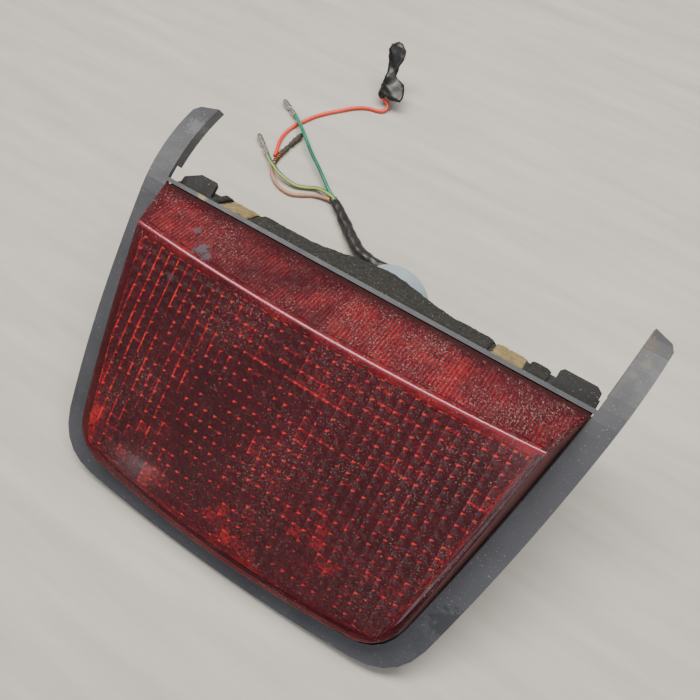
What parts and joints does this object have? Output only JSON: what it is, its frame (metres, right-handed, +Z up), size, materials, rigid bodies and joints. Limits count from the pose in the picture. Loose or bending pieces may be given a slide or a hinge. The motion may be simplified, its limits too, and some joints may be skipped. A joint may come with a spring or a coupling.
{
  "type": "motorcycle tail lamp",
  "caption": "Motorcycle tail and stop lamp: red trapezoid lens in a grey eared bezel, foam-taped black housing, rear bulb holder and loose leads.",
  "frame": {"origin": "centre of the footprint of the lamp without its leads, on the ground, as it lies on its bezel's bottom edge and its bulb cap", "axes": "+X across the lamp along the lens's top edge, +Y towards the ears and the bulb cap, +Z up; the lens faces up and forward, tilted about 28 degrees"},
  "size_m": [0.2977, 0.352, 0.0886],
  "materials": {
    "lens": "moulded clear red acrylic",
    "lens_sealant": "matt bead",
    "reflector": "metallised plastic",
    "bezel": "painted slate grey, scuffed",
    "housing": "grained black plastic",
    "foam_strip": "open-cell foam tape, dusty",
    "adhesive_pads": "old glue and torn foam",
    "case_screws": "zinc plated",
    "mount_studs": "zinc plated thread",
    "stud_grommets": "moulded",
    "port_seal": "moulded",
    "holder_barrel": "moulded",
    "holder_cap": "moulded, pale blue-grey, dusty",
    "socket_shell": "pressed, nickel plated",
    "earth_tab": "pressed",
    "contact_springs": "spring wire",
    "contact_plate": "laminated board",
    "contact_rivets": "turned",
    "bulb_base": "drawn",
    "bulb_pins": "turned",
    "base_insulator": "fused glass, black",
    "solder_contacts": "solder",
    "bulb_glass": "blown clear glass",
    "glass_stem": "pressed glass",
    "filament_posts": "drawn wire",
    "filaments": "coiled tungsten",
    "lead_sleeve": "soft PVC tube",
    "wire_green": "PVC insulated",
    "wire_green_yellow": "PVC insulated, yellow stripe",
    "wire_brown": "PVC insulated, faded",
    "wire_red": "PVC insulated",
    "bullet_green": "tinned",
    "bullet_green_yellow": "tinned, dull",
    "bullet_brown": "corroded",
    "insulating_tape": "PVC tape, creased"
  },
  "bodies": {
    "lamp": {"lens": "lens", "lens_sealant": "lens_sealant", "reflector": "reflector", "bezel": "bezel", "housing": "housing", "foam_strip": "foam_strip", "adhesive_pads": "adhesive_pads", "case_screws": "case_screws", "mount_studs": "mount_studs", "stud_grommets": "stud_grommets", "port_seal": "port_seal", "lead_sleeve": "lead_sleeve", "wire_green": "wire_green", "wire_green_yellow": "wire_green_yellow", "wire_brown": "wire_brown", "wire_red": "wire_red", "bullet_green": "bullet_green", "bullet_green_yellow": "bullet_green_yellow", "bullet_brown": "bullet_brown", "insulating_tape": "insulating_tape"},
    "bulb_holder": {"holder_barrel": "holder_barrel", "holder_cap": "holder_cap", "socket_shell": "socket_shell", "earth_tab": "earth_tab", "contact_springs": "contact_springs"},
    "bulb": {"contact_plate": "contact_plate", "contact_rivets": "contact_rivets", "bulb_base": "bulb_base", "bulb_pins": "bulb_pins", "base_insulator": "base_insulator", "solder_contacts": "solder_contacts", "bulb_glass": "bulb_glass", "glass_stem": "glass_stem", "filament_posts": "filament_posts", "filaments": "filaments"}
  },
  "joints": [
    {"name": "holder_twist", "type": "hinge", "parent": "lamp", "child": "bulb_holder", "pos_m": [0, 0.06126, 0.02747], "axis": [0, -0.9255, 0.3788], "range_deg": [0, 30]},
    {"name": "bulb_push", "type": "slide", "parent": "bulb_holder", "child": "bulb", "axis": [0, 0.9255, -0.3788], "range_m": [0, 0.002], "stiffness_N_per_m": 300, "deforming": ["contact_springs"]}
  ]
}
